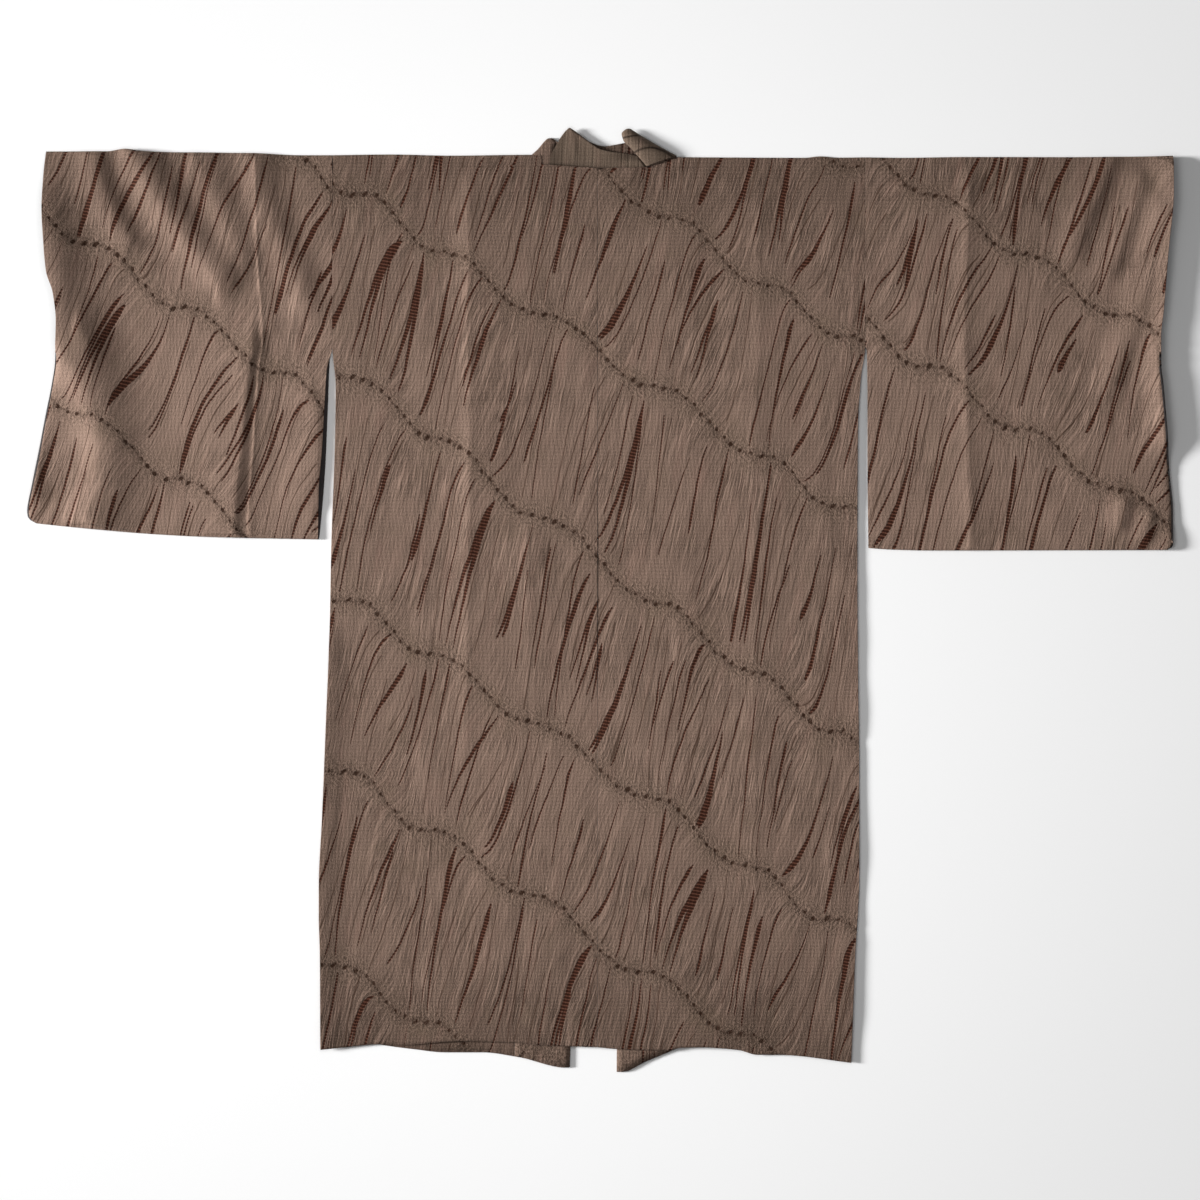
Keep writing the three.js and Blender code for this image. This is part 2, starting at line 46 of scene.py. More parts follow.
MM = 0.001
CLOTH = 1.2
BAND = 2 * CLOTH
SEAM_GAP = 0.3
LAYER_GAP = 0.3
CENTRE_SEAM = -3.0
LEFT_ARMHOLE = -321.0
RIGHT_ARMHOLE = 318.0
ARMHOLE_FOOT = 304.0
LEFT_SHOULDER = 534.0
RIGHT_SHOULDER = 531.0
HEM = -536.0
BODY_WIDTH = 318.0
SEAM_DIP = 0.12  # how deep a seam lies in the cloth
GRID_STEP = 3.1  # of the upper layers' grid, both ways
CRISP_STEP = 1.1  # of its columns at a crisp crease
EDGE_STRIP = 0.4  # width of the grid's outermost columns, which keep an edge sharp
FRONT_STEP = 16.0  # of the fronts' rows, which lie flat
TURN_STEPS = 6  # round a fold

# Soft folds of the upper layer: the points along each crest, how far it falls off on its left and on its
# right, and how high it stands.
SOFT_FOLDS = [
    ([(-674, 462), (-663, 420), (-653, 370), (-650, 325)], 30, 40, 13.0),
    ([(-606, 548), (-602, 505), (-589, 470), (-566, 430)], 22, 16, 6.0),
    ([(-560, 548), (-542, 505), (-517, 465), (-490, 430), (-460, 392)], 19, 30, 10.5),
    ([(-482, 535), (-465, 495), (-448, 460), (-430, 425)], 18, 26, 6.0),
    ([(-414, 540), (-407, 490), (-390, 440), (-367, 395), (-352, 355)], 19, 22, 5.6),
    ([(-628, 290), (-608, 240), (-596, 190), (-598, 140), (-612, 105)], 24, 40, 12.0),
    ([(-686, 200), (-680, 130)], 12, 13, 4.5),
    ([(-340, 230), (-342, 120)], 26, 10, 2.5),
    ([(-165, -545), (-168, -480)], 34, 34, 3.0),
    ([(140, -545), (150, -490)], 30, 30, 2.0),
    ([(-330, -60), (-337, -250), (-341, -420), (-340, -520)], 14, 24, 5.0),
    ([(612, 530), (588, 470), (566, 420)], 16, 12, 3.2),
    ([(648, 500), (632, 450), (612, 395)], 14, 12, 3.6),
    ([(668, 470), (656, 400), (640, 330), (612, 262)], 18, 14, 4.2),
    ([(697, 520), (694, 430), (685, 350), (683, 280), (689, 200)], 26, 26, 13.0),
    ([(628, 112), (622, 92)], 13, 12, 4.2),
    ([(657, 98), (652, 78)], 13, 12, 4.2),
    ([(688, 76), (684, 62)], 13, 12, 3.0),
]

# A fold that would stand higher than SOFT_TOP is held down softly, to SOFT_ROOM above it. Over the
# collar's bands, between the two places in OVER_BANDS, the back lies higher by a band's thickness, and it
# comes down beside them within BAND_RAMP.
SOFT_TOP = 12.5
SOFT_ROOM = 4.0
OVER_BANDS = (-118.0, 104.0)
BAND_RAMP = 45.0


def eased(points, known, at):
    """Reads the other column of an edge's (x, y) points where column `known` has the values `at`."""
    table = np.array(points, float)
    table = table[np.argsort(table[:, known])]
    key, value = table[:, known], table[:, 1 - known]
    step = np.diff(key)
    slope = np.diff(value) / step
    tangent = np.zeros_like(key)
    before, after = slope[:-1], slope[1:]
    even = before * after > 0
    tangent[1:-1][even] = (2 * before * after)[even] / (before + after)[even]
    tangent[0], tangent[-1] = slope[0], slope[-1]
    at = np.clip(at, key[0], key[-1])
    i = np.clip(np.searchsorted(key, at, side="right") - 1, 0, len(step) - 1)
    t = (at - key[i]) / step[i]
    lean = tangent[i] * t * (1 - t) ** 2 - tangent[i + 1] * t * t * (1 - t)
    return value[i] + (value[i + 1] - value[i]) * t * t * (3 - 2 * t) + step[i] * lean


def smooth(low, high, at):
    """0 below low, 1 above high, and a soft step between."""
    t = np.clip((at - low) / (high - low), 0, 1)
    return t * t * (3 - 2 * t)


def ridge(x, y, crest, left, right):
    """1 along a crest of joined straight lines, falling off on either side as far as it is told."""
    nearest = np.full(np.shape(x), np.inf)
    height = np.zeros(np.shape(x))
    for start, end in zip(crest, crest[1:]):
        along = np.subtract(end, start).astype(float)
        share = ((x - start[0]) * along[0] + (y - start[1]) * along[1]) / (along @ along)
        share = np.clip(share, 0, 1)
        off_x, off_y = x - start[0] - share * along[0], y - start[1] - share * along[1]
        away = np.hypot(off_x, off_y)
        width = left + (right - left) * smooth(-6, 6, off_x)
        height = np.where(away < nearest, np.exp(-((away / width) ** 2)), height)
        nearest = np.minimum(nearest, away)
    return height


def lie_height(x, y):
    """Height of the upper layer's underside above the floor."""
    over_bands = smooth(OVER_BANDS[0] - BAND_RAMP, OVER_BANDS[0], x)
    over_bands = over_bands * (1 - smooth(OVER_BANDS[1], OVER_BANDS[1] + BAND_RAMP, x))
    height = CLOTH + LAYER_GAP + (BAND - CLOTH) * over_bands
    for crest, left, right, rise in SOFT_FOLDS:
        height = height + rise * ridge(x, y, crest, left, right)
    over = np.maximum(height - SOFT_TOP, 0)
    return np.minimum(height, SOFT_TOP) + SOFT_ROOM * np.tanh(over / SOFT_ROOM)


HILLS = 64


def rolling(across, along, seed):
    """Smooth chance hills between -1 and 1, one unit of across and along apart."""
    hills = np.random.default_rng(seed).uniform(-1, 1, (HILLS, HILLS))
    i, j = np.floor(across).astype(int), np.floor(along).astype(int)
    s, t = across - i, along - j
    s, t = s * s * (3 - 2 * s), t * t * (3 - 2 * t)
    left, right, low, high = i % HILLS, (i + 1) % HILLS, j % HILLS, (j + 1) % HILLS
    near = hills[left, low] * (1 - s) + hills[right, low] * s
    far = hills[left, high] * (1 - s) + hills[right, high] * s
    return near * (1 - t) + far * t


def layer_points(shape, u, v):
    """x and y of one layer's points, u across from its inner to its outer edge, v down from the fold."""
    inner_y = shape["inner"][0][1] + (shape["inner"][-1][1] - shape["inner"][0][1]) * v
    outer_y = shape["outer"][0][1] + (shape["outer"][-1][1] - shape["outer"][0][1]) * v
    inner_x = eased(shape["inner"], 1, inner_y)
    outer_x = eased(shape["outer"], 1, outer_y)
    x = inner_x[:, None] + (outer_x - inner_x)[:, None] * u[None, :]
    fold_y = eased(shape["fold"], 0, x)
    foot_y = eased(shape["foot"], 0, x)
    return x, fold_y + (foot_y - fold_y) * v[:, None], fold_y, foot_y


def stations(start, end, step, corners=()):
    """Shares of the way from start to end, about a step apart, with one at each corner."""
    length = abs(end - start)
    even = np.linspace(0, 1, max(2, round(length / step)) + 1)
    at_corners = np.array([abs(corner - start) / length for corner in corners])
    for place in at_corners:
        even = even[np.abs(even - place) > 0.3 * step / length]
    return np.sort(np.concatenate([even, at_corners]))


def pressed(x, v, creases):
    """Height of the creases that the coat was folded away with.

    A crease's "across" is its share of the width at the fold and at the foot, "down" the shares of the
    length where it starts and ends, and "falls" how far it falls off on its left and on its right.
    """
    height = np.zeros_like(x)
    for crease in creases:
        inner, outer = x[:, :1], x[:, -1:]
        share = np.interp(v, (0, 1), crease["across"])[:, None]
        away = x - (inner + (outer - inner) * share)
        start, end = crease["down"]
        fade = smooth(start - 0.04, start + 0.04, v) * (1 - smooth(end - 0.15, end + 0.15, v))
        left, right = crease["falls"]
        slope = np.exp(-np.abs(away) / np.where(away < 0, left, right))
        height = height + crease["rise"] * fade[:, None] * slope
    return height


# The lines of knots run down the cloth from left to right, in steps that go level at the places in
# LEVELS. Each line has the height where it crosses the middle of the coat, and its slope. Between two
# lines the pleats run sideways by "lean" for each step up, and "seed" gives a length its own streaks.
LEVELS = [-735, -620, -507, -390, -298, -196, -75, 68, 188, 290, 385, 500, 612, 725]
LINE_SPACING = 225.0
LINE_WAY = (0.83, -0.56)  # which way a line runs
SQUARE_ACROSS = 0.8  # a height above a line times this is the distance square to it
STEP_HEIGHT = 10.5
LEVELS_LEAN = 0.03  # the places in LEVELS lie further right above LEVELS_HEIGHT, and left below it
LEVELS_HEIGHT = 100.0
WANDER = 4.0  # how far a line strays by chance
BODY_DYE = {
    "lines": [(-640, 0.64), (-410, 0.66), (-200, 0.67), (48, 0.74), (298, 0.645), (514, 0.68), (720, 0.66)],
    "lean": 0.22,
    "seed": 3.0,
}


def dye_line(x, y, dye):
    """How many dye lines lie below a point, with the part of the way to the next."""
    turns = np.interp(x - LEVELS_LEAN * (y - LEVELS_HEIGHT), LEVELS, np.arange(len(LEVELS)))
    stepped = y - STEP_HEIGHT * np.sin(2 * math.pi * turns) + WANDER * rolling(x / 70, y / 160, 11)
    (lowest, low_slope), (highest, high_slope) = dye["lines"][0], dye["lines"][-1]
    below = [(lowest - LINE_SPACING * k, low_slope) for k in range(8, 0, -1)]
    above = [(highest + LINE_SPACING * k, high_slope) for k in range(1, 9)]
    heights = [height - slope * x for height, slope in (*below, *dye["lines"], *above)]
    steps = [np.clip((stepped - low) / (high - low), 0, 1) for low, high in zip(heights, heights[1:])]
    return sum(steps)


PULL = 0.40  # how much of the way to square with a line the stitches pull the pleats
MOST_LEAN = 0.5


def pleat_lean(x, y, dye):
    """Sideways run of the pleats for each step up the cloth, at a dye line."""
    across = dye_line(x + 2, y, dye) - dye_line(x - 2, y, dye)
    along = dye_line(x, y + 2, dye) - dye_line(x, y - 2, dye)
    return np.clip(PULL * across / along, 0, MOST_LEAN)


PLEAT_TURN = 36.0  # how far from a line its pull still turns the pleats


def pleat_place(x, y, dye):
    """A number that stays the same along a pleat from one dye line to the next."""
    level = dye_line(x, y, dye)
    low = (level - np.floor(level)) * LINE_SPACING
    high = LINE_SPACING - low
    turned = np.exp(-high / PLEAT_TURN) - np.exp(-low / PLEAT_TURN)
    return x - dye["lean"] * low - (pleat_lean(x, y, dye) - dye["lean"]) * PLEAT_TURN * turned


def crinkle(x, y, dye):
    """Relief that the stitching left: pleats between the dye lines and a puckered dip along each."""
    level = dye_line(x, y, dye)
    off_line = np.abs(level - np.rint(level)) * LINE_SPACING * SQUARE_ACROSS
    place = pleat_place(x, y, dye) + 57 * np.floor(level)
    pleats = rolling(place / 9, y / 70, 5) * 0.42 + rolling(place / 17, y / 120, 7) * 0.5
    patch = 0.55 + 0.45 * rolling(x / 90, y / 110, 9)
    near = np.exp(-((off_line / 16) ** 2))
    puckers = rolling(x / 7, y / 7, 13) * 0.22 + rolling(x / 13, y / 13, 17) * 0.22
    return pleats * patch * (1 - 0.7 * near) + puckers * near - 0.3 * np.exp(-((off_line / 4) ** 2))


def folded_length(name, under, over, columns, dye, creases, sewn_foot=False, cuff=None):
    """A length of cloth folded over the shoulder: the under layer on the floor, the upper one on it."""
    strip = EDGE_STRIP / (columns * GRID_STEP)
    u = np.concatenate([[0, strip], np.linspace(0, 1, columns + 1)[1:-1], [1 - strip, 1]])
    for crease in creases:
        if "crisp" in crease:
            high, low = crease["across"]
            close = np.linspace(low, high, round((high - low) * columns * GRID_STEP / CRISP_STEP) + 1)
            u = np.sort(np.concatenate([u[(u < low - 0.002) | (u > high + 0.002)], close]))
    v_over = stations(over["inner"][0][1], over["inner"][-1][1], GRID_STEP, over.get("corners", ()))
    v_under = v_over if sewn_foot else stations(under["inner"][0][1], under["inner"][-1][1], FRONT_STEP)

    x_over, y_over, fold_y, foot_y = layer_points(over, u, v_over)
    clear_of_fold = smooth(0, 0.03, v_over)[:, None]
    loose = 0.5 * (rolling(x_over / 60, y_over / 90, 21) + rolling(x_over / 26, y_over / 45, 23) + 1)
    z_over = lie_height(x_over, y_over) + CLOTH / 2
    z_over = z_over + (loose + pressed(x_over, v_over, creases)) * clear_of_fold
    z_over = z_over + (crinkle(x_over, y_over, dye) + 0.5) * (0.35 + 0.65 * clear_of_fold)
    for place in over["seams"]:
        away = np.abs(u - place) * abs(x_over[0, -1] - x_over[0, 0])
        z_over = z_over - SEAM_DIP * np.exp(-((away / 3.0) ** 2))[None, :]
    z_over = np.maximum(z_over, CLOTH * 1.5 + LAYER_GAP * 0.6)

    x_under, y_under, fold_under, _ = layer_points(under, u, v_under)
    z_under = np.full_like(x_under, CLOTH / 2)

    if cuff is not None:
        outer_y = over["outer"][0][1] + (over["outer"][-1][1] - over["outer"][0][1]) * v_over
        sewn = 1 - smooth(cuff - 4, cuff + 4, outer_y)
        from_edge = (1 - u) * columns * GRID_STEP
        closing = sewn[:, None] * np.exp(-((from_edge / 4.0) ** 2))[None, :]
        lift = (z_over[:, -1:] - z_under[:, -1:] - CLOTH - LAYER_GAP) * sewn[:, None]
        spread = np.exp(-((from_edge / 16.0) ** 2))[None, :]
        z_under = z_under + np.maximum(lift, 0) * spread
        rim = (z_over[:, -1:] + z_under[:, -1:]) / 2
        z_over = z_over + (rim - z_over) * closing
        z_under = z_under + (rim - z_under) * closing

    radius = (z_over[0] - CLOTH / 2) / 2
    reach = radius + CLOTH / 2
    y_over = np.minimum(y_over, fold_y[0] - reach)
    y_under = np.minimum(y_under, fold_under[0] - reach)
    if sewn_foot:
        foot_radius = (z_over[-1] - z_under[-1]) / 2
        foot_reach = foot_radius + CLOTH / 2
        y_over = np.maximum(y_over, foot_y[-1] + foot_reach)
        y_under = np.maximum(y_under, foot_y[-1] + foot_reach)

    rows = [np.stack([x_under, y_under, z_under], -1)[::-1]]
    cloth_y = [y_under[::-1]]
    for k in range(1, TURN_STEPS):
        angle = math.pi * k / TURN_STEPS
        y = y_over[0] + radius * math.sin(angle)
        z = radius + CLOTH / 2 - radius * math.cos(angle)
        rows.append(np.stack([x_over[0], y, z], -1)[None])
        cloth_y.append((y_over[0] + radius * min(angle, math.pi - angle))[None])
    rows.append(np.stack([x_over, y_over, z_over], -1))
    cloth_y.append(y_over)
    if sewn_foot:
        for k in range(1, TURN_STEPS + 1):
            angle = math.pi * k / TURN_STEPS
            x = x_over[-1] + (x_under[-1] - x_over[-1]) * k / TURN_STEPS
            y = y_over[-1] - foot_radius * math.sin(angle)
            z = (z_over[-1] + z_under[-1]) / 2 + foot_radius * math.cos(angle)
            rows.append(np.stack([x, y, z], -1)[None])
            cloth_y.append((y_over[-1] - foot_radius * min(angle, math.pi - angle))[None])
    points = np.concatenate(rows)
    return cloth_grid(name, points, np.concatenate(cloth_y), dye)


def cloth_grid(name, points, cloth_y, dye, painted_shade=0.0):
    """A grid of cloth through rows of points, with its place in the cloth's dyeing as UV maps.

    Its last map carries painted shade: how much darker the cloth is painted where shade falls in deep
    folds, creases and gaps.
    """
    across, along = points.shape[1] - 1, points.shape[0] - 1
    made = bmesh.new()
    bmesh.ops.create_grid(made, x_segments=across, y_segments=along, size=1)
    mesh = bpy.data.meshes.new(name)
    made.to_mesh(mesh)
    made.free()
    plain = np.zeros(len(mesh.vertices) * 3)
    mesh.vertices.foreach_get("co", plain)
    plain = plain.reshape(-1, 3)
    column = np.rint((plain[:, 0] + 1) / 2 * across).astype(int)
    row = np.rint((plain[:, 1] + 1) / 2 * along).astype(int)
    mesh.vertices.foreach_set("co", (points[row, column] * MM).ravel())
    corner = np.zeros(len(mesh.loops), int)
    mesh.loops.foreach_get("vertex_index", corner)
    x = points[..., 0]
    between = np.full_like(x, dye["lean"])
    seed = np.full_like(x, dye["seed"])
    maps = {
        "cloth": (x * MM, cloth_y * MM),
        "dye": (seed, dye_line(x, cloth_y, dye)),
        "lean": (pleat_lean(x, cloth_y, dye), between),
        "painted_shade": (np.zeros_like(x) + painted_shade, between),
    }
    for map_name, (first, second) in maps.items():
        uv = mesh.uv_layers.new(name=map_name)
        values = np.stack([first, second], -1)
        uv.data.foreach_set("uv", values[row[corner], column[corner]].ravel())
    mesh.polygons.foreach_set("use_smooth", np.ones(len(mesh.polygons), bool))
    piece = bpy.data.objects.new(name, mesh)
    bpy.context.collection.objects.link(piece)
    return piece


def close_and_thicken(piece, inside=0):
    """Merges the edges that are sewn together, turns the right side out and gives the cloth its body."""
    made = bmesh.new()
    made.from_mesh(piece.data)
    bmesh.ops.remove_doubles(made, verts=made.verts, dist=0.02 * MM)
    made.normal_update()
    highest = max(made.faces, key=lambda face: face.calc_center_median().z)
    if highest.normal.z < 0:
        bmesh.ops.reverse_faces(made, faces=made.faces)
    made.to_mesh(piece.data)
    made.free()
    thickness = piece.modifiers.new("cloth thickness", "SOLIDIFY")
    thickness.thickness = CLOTH * MM
    thickness.offset = 0
    thickness.material_offset = inside
    thickness.material_offset_rim = inside


LEFT_FOLD = [(-321, 533.5), (-252, 534.4), (-180, 533), (-75, LEFT_SHOULDER), (-60, LEFT_SHOULDER)]
RIGHT_FOLD = [
    (80, RIGHT_SHOULDER), (92, RIGHT_SHOULDER), (245, 530.4), (264, 532.2), (284, 530.6), (318, 531),
]
LEFT_SIDE = [
    (LEFT_ARMHOLE, 533.5), (LEFT_ARMHOLE, ARMHOLE_FOOT), (-317, 256), (-318, 189), (-322, 75),
    (-324.5, -45), (-329, -160), (-333, -258), (-337, -344), (-337, -379), (-335.8, -424), (-335.2, -539),
]
RIGHT_SIDE = [
    (RIGHT_ARMHOLE, 531), (RIGHT_ARMHOLE, ARMHOLE_FOOT), (313, 266), (309.5, 208), (309, 133),
    (308.8, 23), (309.8, -107), (311, -202), (311, -335), (306, -430), (302.5, -525), (301.4, -555),
]
LEFT_BACK_HEM = [
    (-336, -539), (-314, -537), (-261, -532.5), (-234, -533.5), (-165, -528.5), (-107, -530.5),
    (-73, -533.5), (CENTRE_SEAM, HEM),
]
RIGHT_BACK_HEM = [
    (CENTRE_SEAM, HEM), (20, -538.3), (81.5, -540.2), (95.5, -536.8), (119, -536), (166, -539.5),
    (189, -545.4), (214, -545.4), (302, -555),
]
LEFT_FRONT_HEM = [(-276, -531), (-257, -534.5), (-222, -539), (-188, -542.5), (-142, -542.5), (-96, -548.5)]
RIGHT_FRONT_HEM = [(86, -540.6), (95.5, -537.2), (130, -532), (243, -532)]
LEFT_NECK = [(-69.6, 522.2), (CENTRE_SEAM, 517.5)]
RIGHT_NECK = [(84, 528.2), (67, 521.8), (55.5, 518.9), (CENTRE_SEAM, 517.5)]
LEFT_BAND_SEAM = [(-70, LEFT_SHOULDER), (-102.6, -547.5)]
RIGHT_BAND_SEAM = [(92, RIGHT_SHOULDER), (86.4, -540.5)]
GUSSET_TOP = 296.0
GUSSET_HEM = -530.0
GUSSET_TOP_WIDTH = 18.0
GUSSET_HEM_WIDTH = 60.0


def shifted(edge, by):
    return [(x + by, y) for x, y in edge]


def gusset_seam(side, way):
    top = eased(side, 1, np.array([GUSSET_TOP]))[0] - way * GUSSET_TOP_WIDTH
    hem = eased(side, 1, np.array([GUSSET_HEM]))[0] - way * GUSSET_HEM_WIDTH
    return [(top, GUSSET_TOP), (hem, GUSSET_HEM)]


def body_length(name, way, fold, side, back_hem, front_hem, neck, band_seam, creases):
    sewn_side = shifted(side, -way * SEAM_GAP / 2)
    (gusset_x, _), (gusset_hem_x, _) = shifted(gusset_seam(side, way), -way * SEAM_GAP)
    over = {
        "fold": fold,
        "foot": back_hem,
        "inner": shifted(band_seam[:1], way * SEAM_GAP)
        + shifted(neck + [(CENTRE_SEAM, 0), (CENTRE_SEAM, HEM)], way * SEAM_GAP / 2),
        "outer": sewn_side,
        "corners": [y for _, y in neck],
        "seams": (0, 1),
    }
    under = {
        "fold": fold,
        "foot": front_hem,
        "inner": shifted(band_seam, way * SEAM_GAP),
        "outer": [*sewn_side[:2], (gusset_x, ARMHOLE_FOOT - 4), (gusset_hem_x, -531.5)],
    }
    piece = folded_length(name, under, over, round(BODY_WIDTH / GRID_STEP), BODY_DYE, creases)
    close_and_thicken(piece)
    return piece


class Field:
    """A number that a finish works out at each point, so that its recipe reads as a formula."""

    def __init__(self, tree, socket):
        self.tree, self.socket = tree, socket

    def math(self, operation, *others):
        node = self.tree.nodes.new("ShaderNodeMath")
        node.operation = operation
        for slot, value in zip(node.inputs, (self, *others)):
            if isinstance(value, Field):
                self.tree.links.new(value.socket, slot)
            else:
                slot.default_value = value
        return Field(self.tree, node.outputs[0])

    def __add__(self, other):
        return self.math("ADD", other)

    def __sub__(self, other):
        return self.math("SUBTRACT", other)

    def __mul__(self, other):
        return self.math("MULTIPLY", other)

    def __truediv__(self, other):
        return self.math("DIVIDE", other)

    def __neg__(self):
        return self.math("MULTIPLY", -1.0)

    def __rsub__(self, other):
        return (-self) + other

    def __abs__(self):
        return self.math("ABSOLUTE")

    __radd__ = __add__
    __rmul__ = __mul__

    def floor(self):
        return self.math("FLOOR")

    def fraction(self):
        return self.math("FRACT")

    def wave(self, length):
        """From -1 to 1 and back in each length."""
        return (self * (2 * math.pi / length)).math("SINE")

    def fading(self, length):
        return (self * (-1.0 / length)).math("EXPONENT")

    def step(self, low, high):
        """0 below low, 1 above high, and a soft step between."""
        node = self.tree.nodes.new("ShaderNodeMapRange")
        node.interpolation_type = "SMOOTHSTEP"
        self.tree.links.new(self.socket, node.inputs["Value"])
        for name, value in (("From Min", low), ("From Max", high)):
            if isinstance(value, Field):
                self.tree.links.new(value.socket, node.inputs[name])
            else:
                node.inputs[name].default_value = value
        return Field(self.tree, node.outputs["Result"])


def place_of(tree, *parts):
    node = tree.nodes.new("ShaderNodeCombineXYZ")
    for slot, value in zip(node.inputs, parts):
        if isinstance(value, Field):
            tree.links.new(value.socket, slot)
        else:
            slot.default_value = value
    return node.outputs[0]


def noise(tree, place, scale, detail=2.0, roughness=0.5):
    """Soft noise about 0, from -0.5 to 0.5."""
    node = tree.nodes.new("ShaderNodeTexNoise")
    tree.links.new(place, node.inputs["Vector"])
    node.inputs["Scale"].default_value = scale
    node.inputs["Detail"].default_value = detail
    node.inputs["Roughness"].default_value = roughness
    return Field(tree, node.outputs["Fac"]) - 0.5


def chances(tree, *parts):
    """Three numbers from 0 to 1 that are the same all over one cell and differ from the next."""
    node = tree.nodes.new("ShaderNodeTexWhiteNoise")
    node.noise_dimensions = "3D"
    tree.links.new(place_of(tree, *parts), node.inputs["Vector"])
    split = tree.nodes.new("ShaderNodeSeparateXYZ")
    tree.links.new(node.outputs["Color"], split.inputs[0])
    return [Field(tree, output) for output in split.outputs]


def blended(tree, share, low, high):
    """One colour going into another, each a socket or three numbers."""
    node = tree.nodes.new("ShaderNodeMix")
    node.data_type = "RGBA"
    tree.links.new(share.socket, node.inputs["Factor"])
    for slot, colour in ((node.inputs[6], low), (node.inputs[7], high)):
        if isinstance(colour, (list, tuple)):
            slot.default_value = (*colour, 1.0)
        else:
            tree.links.new(colour, slot)
    return node.outputs[2]


def read_map(tree, map_name, unit=1.0):
    node = tree.nodes.new("ShaderNodeUVMap")
    node.uv_map = map_name
    split = tree.nodes.new("ShaderNodeSeparateXYZ")
    tree.links.new(node.outputs[0], split.inputs[0])
    return [Field(tree, split.outputs[0]) * unit, Field(tree, split.outputs[1]) * unit]


def streaks(tree, place, up, row, seed, cell, share, widest):
    """Needles of dye between two dye lines, at most one to a cell. Gives cover and place across one."""
    where = place / cell + seed * 0.31
    column = where.floor()
    first, second, third = chances(tree, column, row, seed)
    fourth, fifth, sixth = chances(tree, column, row, seed + 0.5)
    low = 0.02 + first * first * 0.40
    high = 0.98 - second * second * 0.40
    run = (up - low) / (high - low)
    swell = 0.12 + 0.76 * third.step(0.3, 0.7)
    taper = (run / swell).math("MINIMUM", (1.0 - run) / (1.0 - swell)).math("MAXIMUM", 0.0)
    slant = (sixth - 0.4) * (up - 0.5) * 44.0
    off = (where.fraction() - 0.5) * cell - (fifth - 0.5) * cell * 0.45 - slant
    fork = fourth.step(0.80, 0.81) * (swell - run).math("MAXIMUM", 0.0) * cell * 0.18
    away = abs(abs(off) - fork)
    strength = fourth.math("POWER", 1.5) * 0.75 + 0.25
    width = taper * strength * widest + 0.4 * taper.step(0.0, 0.06)
    there = (fifth * 7.0).fraction().math("LESS_THAN", share)
    return width - away, there * taper.step(0.0, 0.03), off


# The first colour of each ground pair is painted shade for the pleats' hollows, the second painted light
# for their ridges.
TAUPE = ((0.056, 0.036, 0.026), (0.306, 0.206, 0.159))  # deep in the pleats, and on them
BLUSH = (0.250, 0.142, 0.112)
MOSS = (0.140, 0.098, 0.066)
HAIR_BROWN = (0.046, 0.022, 0.013)
RUST = (0.104, 0.040, 0.024)
RUNG_BROWN = (0.026, 0.0070, 0.0028)
KNOT_BROWN = (0.028, 0.012, 0.006)
PAINTED_SHADE_BROWN = (0.014, 0.009, 0.006)
KNOT_SPACING = 13.0
STITCH_LENGTH = 3.3
RUNG_SPACING = 3.7
RIB_SPACING = 4.45


